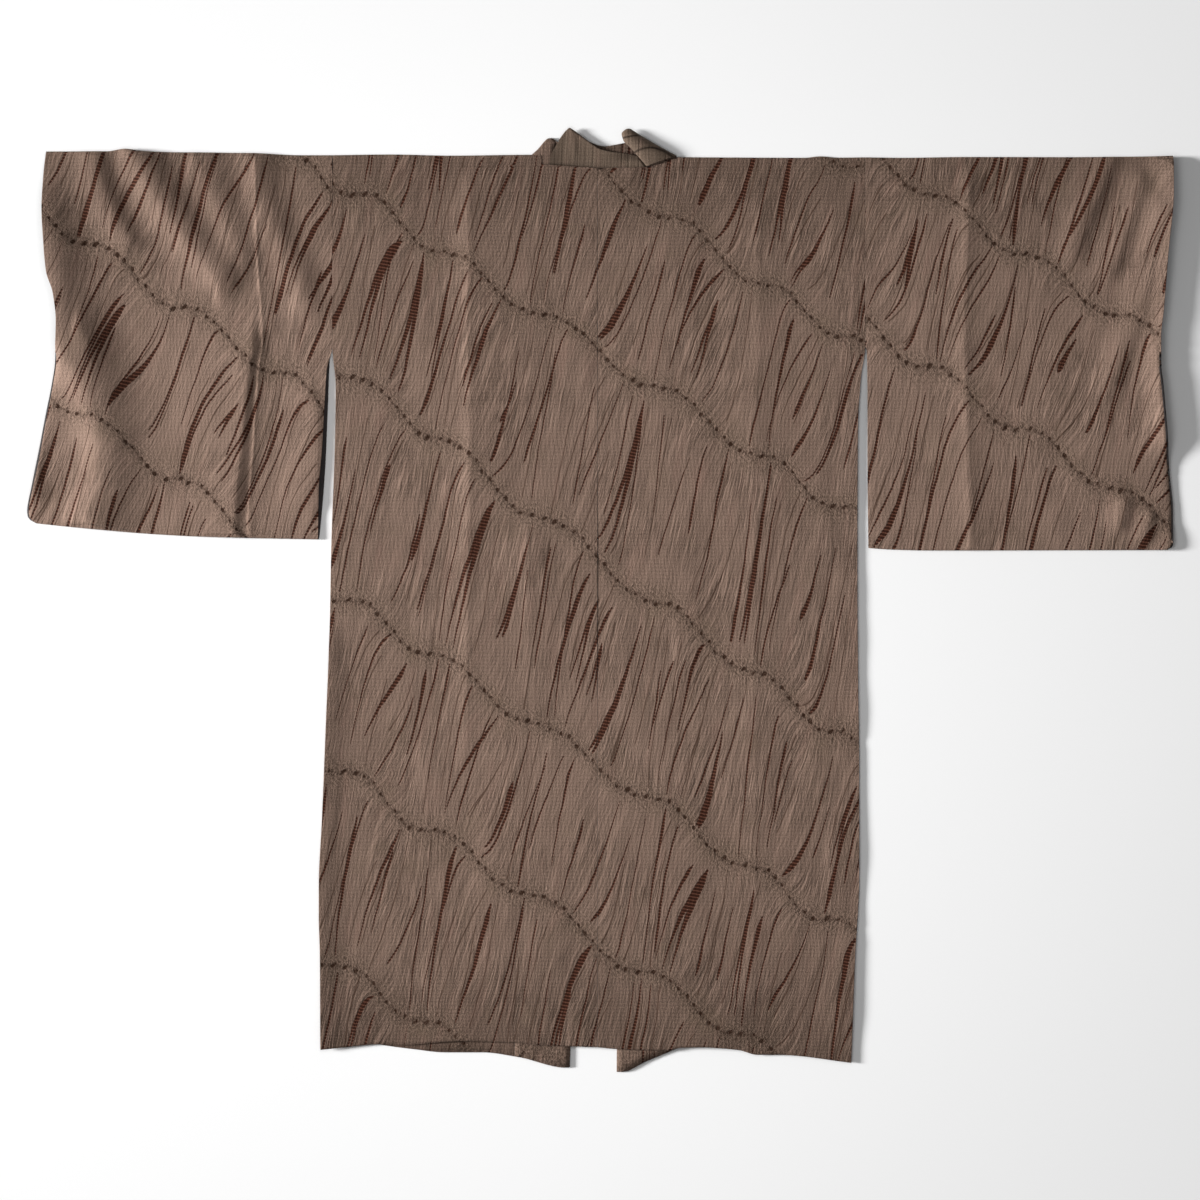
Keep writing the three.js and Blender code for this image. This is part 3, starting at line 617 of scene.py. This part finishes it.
def shibori_crepe(name, dyed=1.0, ground=TAUPE, pleated=1.0):
    """Taupe silk crepe, pleated and stitched before dyeing: rust streaks between lines of dark knots."""
    material = bpy.data.materials.new(name)
    material.use_nodes = True
    tree = material.node_tree
    surface = tree.nodes["Principled BSDF"]
    x, y = read_map(tree, "cloth", 1 / MM)
    seed, level = read_map(tree, "dye")
    lean, between = read_map(tree, "lean")
    painted_shade, _ = read_map(tree, "painted_shade")
    flat = place_of(tree, x, y, seed)

    # Where the point is between its dye lines, and which pleat it is on.
    drift = noise(tree, flat, 0.013, 1.0)
    level = level + noise(tree, flat, 0.06, 1.0) * 0.016
    row = level.floor()
    up = level - row
    low, high = up * LINE_SPACING, (1.0 - up) * LINE_SPACING
    off_line = low.math("MINIMUM", high) * SQUARE_ACROSS
    turned = high.fading(PLEAT_TURN) - low.fading(PLEAT_TURN)
    pleat_at = x - between * low - (lean - between) * PLEAT_TURN * turned
    pleat_at = pleat_at + drift * 5.0 + noise(tree, flat, 0.04, 1.0) * 0.9
    near_line = 1.0 - off_line.step(4.0, 24.0)

    # Knots along each line, with smaller stray ones beside them and a row of stitches through them.
    side = (low - high).math("SIGN")
    line = row + side.step(-0.5, 0.5)
    along_line = x * LINE_WAY[0] + y * LINE_WAY[1]
    bead = along_line / KNOT_SPACING + line * 0.37
    jitter_x, jitter_y, size = chances(tree, bead.floor(), line, seed)
    bead_x = (bead.fraction() - 0.35 - jitter_x * 0.3) * KNOT_SPACING
    bead_y = off_line * side + (jitter_y - 0.5) * 4.5
    from_bead = (bead_x * bead_x + bead_y * bead_y).math("SQRT")
    ragged = noise(tree, flat, 0.6, 2.0) * 4.5
    knot = 1.0 - (from_bead + ragged).step(1.1 + size * 1.2, 2.1 + size * 1.4)
    specks = noise(tree, flat, 0.46, 2.0).step(0.05, 0.13) * (1.0 - off_line.step(0.5, 9.5))
    stitches = (1.0 - abs(off_line - 0.6).step(0.3, 1.5)) * along_line.wave(STITCH_LENGTH).step(-0.6, 0.4)
    knot = knot.math("MAXIMUM", specks * 0.65).math("MAXIMUM", stitches * 0.45)

    # Fine pleats along the stitching's pull, crumpled close to the lines, and the grid of the weave.
    calm = noise(tree, flat, 0.011, 1.0).step(-0.12, 0.14) * 0.7 + 0.3
    calm = calm * (1.0 - near_line * 0.6) * pleated
    pleats = noise(tree, place_of(tree, pleat_at / 3.9, y / 80.0, row), 1.0, 2.0, 0.7)
    tucks = (1.0 - abs(pleats).step(0.0, 0.05)) * calm
    pleats = pleats * calm
    threads = noise(tree, place_of(tree, pleat_at / 1.5, y / 40.0, 4.0), 1.0, 1.0)
    threads = threads * (calm * 0.6 + pleated * 0.4)
    grain = noise(tree, flat, 1.0, 1.0)
    crumple = noise(tree, flat, 0.32, 3.0, 0.65)
    ribs = (x + drift * 20.0).wave(RIB_SPACING) * 0.55 + (y + threads).wave(RIB_SPACING) * 0.45

    # Rust streaks, hair-thin ones among them, and across the streaks a ladder of rungs that took the dye.
    slope = between + (lean - between) * (low.fading(PLEAT_TURN) + high.fading(PLEAT_TURN))
    pleat = (tree, pleat_at, up, row)
    wide, wide_there, wide_off = streaks(*pleat, seed=1.0, cell=37.0, share=0.82, widest=2.7)
    slim, slim_there, _ = streaks(*pleat, seed=2.0, cell=22.0, share=0.80, widest=1.4)
    hair, hair_there, _ = streaks(*pleat, seed=5.0, cell=16.0, share=0.62, widest=0.1)
    rungs = (y + slope * wide_off + threads * 1.5).wave(RUNG_SPACING).step(-0.85, -0.20)
    stained = ((wide + rungs * 0.5).step(-0.2, 0.5) * wide_there).math(
        "MAXIMUM", (slim + rungs * 0.3).step(-0.2, 0.5) * slim_there
    )
    rust = blended(tree, rungs, RUST, RUNG_BROWN)

    # The ground's shade: painted shade in the pleats' hollows, tucks and crumples and painted light on
    # their ridges, over the crepe's own grain and weave. The sleeves are painted lighter, and painted shade
    # darkens the coat towards the shoulder and the hem.
    shade = 0.54 + pleats * 0.85 - tucks * 0.22 + threads * 0.85 + grain * 1.45
    shade = shade + near_line * (crumple * 1.3 - 0.05)
    # Painted light: the sleeves and the collar are made lighter than the body, the left sleeve most.
    shade = shade + seed.step(4.0, 7.0) * 0.13 - seed.step(9.0, 12.0) * 0.04
    # Painted shade: the coat is made darker towards the shoulder and the hem, over the weave's ribs.
    shade = shade + ribs * 0.10 - abs(y).step(180.0, 520.0) * 0.06 - abs(y).step(400.0, 560.0) * 0.16
    colour = blended(tree, shade.step(-0.1, 1.1), *ground)
    blush = noise(tree, place_of(tree, pleat_at / 13.0, y / 90.0, 9.0), 1.0, 2.0).step(0.0, 0.35)
    colour = blended(tree, blush * 0.26, colour, BLUSH)
    moss = near_line * 0.14 + noise(tree, flat, 0.021, 2.0).step(0.02, 0.25) * 0.20
    colour = blended(tree, moss * dyed, colour, MOSS)
    hairs = hair.step(-0.5, 0.4) * hair_there
    colour = blended(tree, hairs * dyed * 0.82, colour, HAIR_BROWN)
    colour = blended(tree, stained * dyed * 0.97, colour, rust)
    colour = blended(tree, knot * dyed * 0.97, colour, KNOT_BROWN)
    # Painted shade in the collar's folds, creases and gaps.
    colour = blended(tree, painted_shade, colour, PAINTED_SHADE_BROWN)
    tree.links.new(colour, surface.inputs["Base Color"])

    height = pleats * 1.15 - tucks * 0.22 + threads * 0.45 + grain * 0.50 + ribs * 0.08
    height = height + crumple * near_line * 2.3 - knot * 0.4 - stained * 0.35 + rungs * stained * 0.10
    bump = tree.nodes.new("ShaderNodeBump")
    bump.inputs["Strength"].default_value = 1.0
    bump.inputs["Distance"].default_value = MM
    tree.links.new(height.socket, bump.inputs["Height"])
    tree.links.new(bump.outputs[0], surface.inputs["Normal"])
    surface.inputs["Roughness"].default_value = 0.74
    surface.inputs["Specular IOR Level"].default_value = 0.07
    surface.inputs["Sheen Weight"].default_value = 0.03
    surface.inputs["Sheen Roughness"].default_value = 0.4
    return material


crepe = shibori_crepe("shibori_crepe")


def dressed(piece, node):
    """The crepe piece stands for its solid, which is hidden, and hangs from the root."""
    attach(piece, "root")
    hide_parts(node)


body_left_cloth = body_length(
    "body_left_cloth", -1, LEFT_FOLD, LEFT_SIDE, LEFT_BACK_HEM, LEFT_FRONT_HEM, LEFT_NECK, LEFT_BAND_SEAM,
    [
        {"across": (0.487, 0.487), "down": (0.02, 0.64), "falls": (13, 42), "rise": 4.8},
        {"across": (0.262, 0.262), "down": (0.42, 0.52), "falls": (18, 40), "rise": 4.5},
    ],
)
body_right_cloth = body_length(
    "body_right_cloth", 1, RIGHT_FOLD, RIGHT_SIDE, RIGHT_BACK_HEM, RIGHT_FRONT_HEM, RIGHT_NECK,
    RIGHT_BAND_SEAM,
    [{"across": (0.600, 0.600), "down": (0.0, 0.85), "falls": (16, 20), "rise": 1.6}],
)
for body_cloth in (body_left_cloth, body_right_cloth):
    body_cloth.data.materials.append(crepe)
dressed(body_left_cloth, "body_left")
dressed(body_right_cloth, "body_right")

# ---- Sleeves -------------------------------------------------------------------------------------
# A sleeve is a length of the same crepe folded along its top and sewn along the bottom and up the outer
# edge as far as the wrist. Below the armhole its inner edge hangs open, free of the body, and there the
# dark lining of the front layer looks out from behind the back one.

WRIST = 302.0  # the outer edge is sewn up to here
SLEEVE_WIDTH = 352.0
LEFT_SLEEVE_DYE = {"lines": [(-212, 0.70), (2, 0.70), (272, 0.70)], "lean": 0.31, "seed": 8.0}
RIGHT_SLEEVE_DYE = {"lines": [(255, 0.64), (530, 0.64), (741, 0.64)], "lean": 0.24, "seed": 14.0}
LEFT_SLEEVE = {
    "fold": [
        (-668, 538), (-592, 538), (-570, 541), (-548, 538), (-513, 537), (-421, 536), (-360, 533.5),
        (LEFT_ARMHOLE, 533.5),
    ],
    "foot": [(-687, 93), (-676, 91.8), (-605, 84.6), (-536, 79), (-467, 75.5), (-336, 72.6)],
    "outer": [
        (-664.3, 538), (-667, 508), (-667.8, 473), (-665.4, 427), (-662, 393), (-654, 368), (-650.5, 335),
        (-651.7, 293), (-657.4, 259), (-664.3, 225), (-673.4, 175), (-681.5, 133), (-687, 105),
        (-685.5, 97), (-676, 91.8),
    ],
    "seams": (0,),
}
LEFT_INNER_OVER = [
    (LEFT_ARMHOLE, 533.5), (LEFT_ARMHOLE, ARMHOLE_FOOT), (-327.5, 275), (-329.4, 247), (-333.2, 180),
    (-337, 133), (-338, 72.6),
]
LEFT_INNER_UNDER = [
    (LEFT_ARMHOLE, 533.5), (LEFT_ARMHOLE, ARMHOLE_FOOT), (-323.6, 295), (-326.5, 228), (-329.4, 161),
    (-335, 90), (-337, 72.6),
]
RIGHT_SLEEVE = {
    "fold": [(RIGHT_ARMHOLE, 531), (361, 530.4), (440, 531.4), (560, 531.2), (687, 532.4)],
    "foot": [(321, 62.3), (345, 60.6), (397, 59.4), (687, 60)],
    "outer": [
        (686.3, 532.4), (686.3, 493), (679.6, 412), (674.3, 345), (671.4, 317), (671.4, 281), (673.6, 261),
        (677.6, 216), (682.8, 152), (687, 106), (687, 68), (685, 63), (680, 60),
    ],
    "seams": (0,),
}
RIGHT_INNER_OVER = [
    (RIGHT_ARMHOLE, 531), (RIGHT_ARMHOLE, ARMHOLE_FOOT), (319.7, 300), (320.6, 247), (320.6, 171),
    (321.6, 62.3),
]
RIGHT_INNER_UNDER = [
    (RIGHT_ARMHOLE, 531), (RIGHT_ARMHOLE, ARMHOLE_FOOT), (320.4, 298), (321.8, 180), (322.4, 62.3),
]


def sleeve(name, way, shape, inner_over, inner_under, dye, creases):
    over = {**shape, "inner": shifted(inner_over, way * SEAM_GAP / 2)}
    under = {**shape, "inner": shifted(inner_under, way * SEAM_GAP / 2)}
    columns = round(SLEEVE_WIDTH / GRID_STEP)
    piece = folded_length(name, under, over, columns, dye, creases, sewn_foot=True, cuff=WRIST)
    close_and_thicken(piece, inside=1)
    return piece


LINING_THREAD = 0.9
LINING = ((0.008, 0.005, 0.005), (0.026, 0.015, 0.014))


def sleeve_lining(name):
    """Plain dark silk, woven fine."""
    material = bpy.data.materials.new(name)
    material.use_nodes = True
    tree = material.node_tree
    surface = tree.nodes["Principled BSDF"]
    x, y = read_map(tree, "cloth", 1 / MM)
    weave = x.wave(LINING_THREAD) * y.wave(LINING_THREAD)
    cloudy = noise(tree, place_of(tree, x, y, 0.0), 0.05, 2.0)
    shade = 0.5 + cloudy * 0.8 + weave * 0.12
    colour = blended(tree, shade, *LINING)
    tree.links.new(colour, surface.inputs["Base Color"])
    bump = tree.nodes.new("ShaderNodeBump")
    bump.inputs["Distance"].default_value = 0.1 * MM
    tree.links.new((weave + cloudy).socket, bump.inputs["Height"])
    tree.links.new(bump.outputs[0], surface.inputs["Normal"])
    surface.inputs["Roughness"].default_value = 0.55
    return material


sleeve_left_cloth = sleeve(
    "sleeve_left_cloth", -1, LEFT_SLEEVE, LEFT_INNER_OVER, LEFT_INNER_UNDER, LEFT_SLEEVE_DYE,
    [
        {"across": (0.285, 0.285), "down": (0.46, 1.3), "falls": (60, 8), "rise": 5.2},
        {"across": (0.268, 0.238), "down": (0.0, 1.4), "falls": (1.6, 7), "rise": 1.5, "crisp": True},
    ],
)
sleeve_right_cloth = sleeve(
    "sleeve_right_cloth", 1, RIGHT_SLEEVE, RIGHT_INNER_OVER, RIGHT_INNER_UNDER, RIGHT_SLEEVE_DYE,
    [{"across": (0.334, 0.334), "down": (0.04, 1.3), "falls": (12, 20), "rise": 3.2}],
)
lining = sleeve_lining("sleeve_lining")
for sleeve_cloth in (sleeve_left_cloth, sleeve_right_cloth):
    sleeve_cloth.data.materials.append(crepe)
    sleeve_cloth.data.materials.append(lining)
dressed(sleeve_left_cloth, "sleeve_left")
dressed(sleeve_right_cloth, "sleeve_right")

# ---- Gussets -------------------------------------------------------------------------------------
# Under each arm a long wedge of the crepe joins the front to the back. It folds flat beneath the back
# when the coat is laid down, with its outer edge along the side.

GUSSET_STEP = 12.0
GUSSET_COLUMNS = 6
GUSSET_DYE_SHIFT = 40.0  # a gusset is cut from another stretch of the bolt, so its lines lie elsewhere


def gusset(name, way, side):
    across = np.linspace(0, 1, GUSSET_COLUMNS + 1)
    y = np.linspace(GUSSET_TOP, GUSSET_HEM, round((GUSSET_TOP - GUSSET_HEM) / GUSSET_STEP) + 1)
    outer = eased(side, 1, y) - way * SEAM_GAP / 2
    inner = eased(gusset_seam(side, way), 1, y)
    x = inner[:, None] + (outer - inner)[:, None] * across[None, :]
    rows = np.broadcast_to(y[:, None], x.shape)
    points = np.stack([x, rows, np.full_like(x, CLOTH / 2)], -1)
    piece = cloth_grid(name, points, rows + GUSSET_DYE_SHIFT, BODY_DYE)
    close_and_thicken(piece)
    piece.data.materials.append(crepe)
    return piece


gusset_left_cloth = gusset("gusset_left_cloth", -1, LEFT_SIDE)
gusset_right_cloth = gusset("gusset_right_cloth", 1, RIGHT_SIDE)
dressed(gusset_left_cloth, "gusset_left")
dressed(gusset_right_cloth, "gusset_right")

# ---- Collar --------------------------------------------------------------------------------------
# The collar is one long strip folded double, sewn down one front, round the neck and down the other. At
# the back of the neck it is folded outwards for wearing: a leaf stands up from the neckline and leans
# over, and at the right it rolls over itself.

COLLAR_WIDTH = 66.0
NECK_FOLD = 505.0  # the band's folded edge at the neck, hidden under the back
BAND_COLUMNS = 10
BAND_STEPS = 90
NECK_TOP = [
    (-70, 534.6), (-74, 534.8), (-58, 554.4), (-49, 548.2), (-40, 549), (-26, 555.4), (-14.5, 550.4),
    (-3, 545.3), (6, 543.7), (20, 546.2), (48, 552), (68, 542), (92, 531.8),
]
LEFT_END = [(-102.6, -547.5), (-96, -548.5), (-41, -561), (-36.6, -560)]
RIGHT_END = [(20.4, -566), (27, -566), (54, -554), (81.5, -542.5), (86.4, -540.5)]

# Rows from left to right. Leaf: x at its seam, x and y of its free edge, height at both. Flap: x and y at
# its seam, x and y of its free edge. Roll: x and y of its left side, x and y of its right side, height of
# both, and how far its crown stands above them.
NECK_LEAF = [
    (-61, -40.5, 561.5, 4.6, 4.6), (-59, -38.8, 564.6, 4.6, 4.6), (-56, -36.4, 565.8, 4.6, 4.6),
    (-52, -33.4, 564.2, 4.4, 4.6), (-40, -24, 557.6, 3.8, 4.8), (-20, -12, 548.4, 3.3, 5.6),
    (0, 1, 540.0, 3.3, 6.0), (20, 15, 537.0, 3.3, 5.8), (38, 32, 535.0, 3.3, 5.0),
    (55, 46, 532.0, 3.4, 4.4),
]
NECK_FLAP = [
    (-80, 529.5, -82.5, 533.2), (-74, 525.5, -74, 541.0), (-69, 523.2, -67, 549.5),
    (-66, 522.8, -62, 553.6), (-63, 522.6, -58.0, 553.8), (-58, 522.3, -52.5, 547.0),
]
NECK_ROLL = [
    (27.2, 560.6, 31.5, 564.0, 4.8, 4.2, 1.2),
    (26.5, 558.5, 35, 564.5, 5.2, 4.2, 2.5), (28.5, 551, 49, 556.4, 5.2, 2.4, 6.0),
    (38, 541, 69, 544.6, 5.0, 1.8, 8.0), (47, 530.8, 85.5, 535.6, 4.6, 1.6, 6.5),
    (56.5, 520.2, 91.5, 532.6, 3.6, 1.8, 4.0),
]
COLLAR_DYE = {"lines": [(-640, 0.64), (1000, 0.64)], "lean": 0.16, "seed": 21.0}


def along_table(table, steps):
    """Rows of a table, eased to an even number of steps from its first row to its last."""
    table = np.array(table, float)
    place = np.arange(len(table), dtype=float)
    at = np.linspace(0, len(table) - 1, steps + 1)
    columns = [eased(list(zip(place, table[:, k])), 0, at) for k in range(table.shape[1])]
    return np.stack(columns, -1)


def collar_band(name):
    """The double strip, from the left hem up, across the neck and down to the right hem."""
    share = np.linspace(0, 1, BAND_COLUMNS + 1)
    rows = []
    left_top, right_top = np.array(NECK_TOP[0]), np.array(NECK_TOP[-1])
    left_fold = np.array([left_top[0] + COLLAR_WIDTH, NECK_FOLD])
    right_fold = np.array([right_top[0] - COLLAR_WIDTH, NECK_FOLD])
    for seam_top, fold_top, seam_foot, fold_foot, end, order in (
        (left_top, left_fold, LEFT_END[0][0], LEFT_END[-1][0], LEFT_END, -1),
        (right_top, right_fold, RIGHT_END[-1][0], RIGHT_END[0][0], RIGHT_END, 1),
    ):
        top = seam_top + (fold_top - seam_top) * share[:, None]
        foot_x = seam_foot + (fold_foot - seam_foot) * share
        foot = np.stack([foot_x, eased(end, 0, foot_x)], -1)
        down = np.linspace(0, 1, BAND_STEPS + 1)[:, None, None]
        front = top[None] + (foot - top)[None] * down
        rows.append(front[::order][:-1] if order < 0 else front[1:])
    neck = np.array(NECK_TOP, float)
    run = np.concatenate([[0], np.cumsum(np.hypot(*np.diff(neck, axis=0).T))])
    at = np.unique(np.concatenate([run, np.linspace(0, run[-1], 40)]))
    tops = np.stack([np.interp(at, run, neck[:, k]) for k in (0, 1)], -1)
    folds = left_fold + (right_fold - left_fold) * (at / run[-1])[:, None]
    around = tops[:, None] + (folds - tops)[:, None] * share[None, :, None]
    plan = np.concatenate([rows[0], around, rows[1]])
    lower = np.concatenate([plan, np.full((*plan.shape[:2], 1), CLOTH / 2)], -1)
    upper = np.concatenate([plan, np.full((*plan.shape[:2], 1), CLOTH * 1.5)], -1)
    upper[..., 2] += 0.25 * (rolling(plan[..., 0] / 22, plan[..., 1] / 22, 31) - 0.6)
    points = np.concatenate([lower, upper[:, ::-1]], axis=1)
    # Painted shade on the band towards the neck, where it lies deep under the back and the leaf.
    inside = 0.35 * smooth(515, 535, points[..., 1])
    return cloth_grid(name, points, points[..., 1], COLLAR_DYE, inside)


def neck_flap(name):
    """The left shoulder end of the collar, which stands clear of the leaf."""
    table = along_table(NECK_FLAP, 14)
    seam_x, seam_y, free_x, free_y = table.T
    up = np.linspace(0, 1, 13)[:, None]
    x = seam_x + (free_x - seam_x) * up
    y = seam_y + (free_y - seam_y) * up
    z = 2.9 - 1.0 * up + 0.3 * np.sin(math.pi * up) + 0.2 * rolling(x / 9, y / 9, 43)
    shadow = 0.85 * smooth(-62.5, -60.5, x - 0.16 * (y - 524)) * smooth(552, 543, y)
    return cloth_grid(name, np.stack([x, y, z], -1), y, COLLAR_DYE, shadow)


def neck_leaf(name):
    """The single thickness that stands up from the back neckline and leans over."""
    table = along_table(NECK_LEAF, 44)
    seam_x, free_x, free_y, seam_z, free_z = table.T
    left = eased(LEFT_NECK, 0, seam_x) + SEAM_GAP
    right = eased(RIGHT_NECK, 0, seam_x) + SEAM_GAP
    seam_y = np.where(seam_x < CENTRE_SEAM, left, right)
    up = np.linspace(0, 1, 17)[:, None]
    x = seam_x + (free_x - seam_x) * up ** (1 + 0.7 * smooth(-46, -60, seam_x))
    y = seam_y + (free_y - seam_y) * up
    z = seam_z + (free_z - seam_z) * up**2 + 0.5 * rolling(x / 16, y / 16, 41) * np.sin(math.pi * up)
    z = z + 1.2 * np.exp(-(((x + 34 - 0.10 * (565 - y)) / 3.5) ** 2)) * up
    # Painted shade: a shadow along the neckline seam, shade over the leaf's right part and along its left
    # edge.
    seam_shadow = np.exp(-((y - seam_y) / 1.6)) * (0.85 - 0.5 * smooth(-20, 20, x))
    in_shade = 0.50 * smooth(4, 34, x) * smooth(0.25, 0.8, up)
    edge_shade = 0.35 * np.exp(-(((x - seam_x) / 9) ** 2)) * smooth(-46, -56, x)
    shade = np.maximum(seam_shadow, np.maximum(in_shade, edge_shade))
    return cloth_grid(name, np.stack([x, y, z], -1), y, COLLAR_DYE, shade)


def neck_roll(name):
    """The right end of the neck stretch, rolled over itself, with two lines of painted shade in the creases
    round the roll.
    """
    table = along_table(NECK_ROLL, 70)
    left_x, left_y, right_x, right_y, left_z, right_z, crown = table.T
    angle = np.linspace(0, math.pi, 25)[:, None]
    share = (1 - np.cos(angle)) / 2
    x = left_x + (right_x - left_x) * share
    y = left_y + (right_y - left_y) * share
    z = left_z + (right_z - left_z) * share + crown * np.sin(angle)
    # Two lines of painted shade where the roll creases.
    lines = np.exp(-(((y - 553.2 - 0.18 * (x - 27)) / 1.1) ** 2))
    lines = lines + np.exp(-(((y - 541.2 + 0.014 * (x - 60) ** 2) / 1.3) ** 2))
    return cloth_grid(name, np.stack([x, y, z], -1), y, COLLAR_DYE, 0.9 * np.clip(lines, 0, 1))


# The collar's ground pair: painted shade in the pleats' hollows, painted light on their ridges.
GREY_BROWN = ((0.070, 0.048, 0.034), (0.195, 0.142, 0.106))

collar_crepe = shibori_crepe("collar_crepe", dyed=0.0, ground=GREY_BROWN, pleated=0.35)
collar_band_cloth = collar_band("collar_band_cloth")
collar_flap_cloth = neck_flap("collar_flap_cloth")
collar_leaf_cloth = neck_leaf("collar_leaf_cloth")
collar_roll_cloth = neck_roll("collar_roll_cloth")
for collar_cloth, material in (
    (collar_band_cloth, crepe), (collar_flap_cloth, crepe),
    (collar_leaf_cloth, collar_crepe), (collar_roll_cloth, collar_crepe),
):
    close_and_thicken(collar_cloth)
    collar_cloth.data.materials.append(material)
    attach(collar_cloth, "root")
    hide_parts("collar")

# ---- Floor, light and camera ---------------------------------------------------------------------
# A pale floor, a soft window of light low on the left that rakes across the pleats, a weak one from
# above, and a camera straight over the coat.

FRAME_WIDTH = 1.44
CAMERA_HEIGHT = 4.0
FLOOR_SIZE = 8.0
FLOOR_DROP = 0.0004

bpy.ops.mesh.primitive_plane_add(size=FLOOR_SIZE, location=(0, 0, -FLOOR_DROP))
floor = bpy.context.object
floor.name = "floor"
floor_paint = bpy.data.materials.new("floor_paint")
floor_paint.use_nodes = True
floor_surface = floor_paint.node_tree.nodes["Principled BSDF"]
floor_surface.inputs["Base Color"].default_value = (0.9, 0.9, 0.9, 1)
floor_surface.inputs["Roughness"].default_value = 0.9
floor.data.materials.append(floor_paint)


def soft_light(name, place, size, power):
    """A round soft lamp that looks at the middle of the coat."""
    lamp = bpy.data.lights.new(name, "AREA")
    lamp.shape = "DISK"
    lamp.size = size
    lamp.energy = power
    lamp_object = bpy.data.objects.new(name, lamp)
    bpy.context.collection.objects.link(lamp_object)
    lamp_object.location = place
    x, y, z = place
    lamp_object.rotation_euler = (math.atan2(math.hypot(x, y), z), 0, math.atan2(x, -y))


soft_light("window", (-11.0, 0.6, 3.4), size=2.5, power=3080)
soft_light("ceiling", (-0.15, 0.0, 1.1), size=0.8, power=3.6)

world = bpy.data.worlds.new("studio")
world.use_nodes = True
sky = world.node_tree.nodes["Background"]
sky.inputs["Color"].default_value = (1, 1, 1, 1)
sky.inputs["Strength"].default_value = 0.2
bpy.context.scene.world = world
bpy.context.scene.view_settings.view_transform = "Standard"

lens = bpy.data.cameras.new("camera")
lens.sensor_width = 36
lens.lens = lens.sensor_width * CAMERA_HEIGHT / FRAME_WIDTH
lens.clip_end = 20
camera = bpy.data.objects.new("camera", lens)
bpy.context.collection.objects.link(camera)
camera.location = (0, 0, CAMERA_HEIGHT)
bpy.context.scene.camera = camera
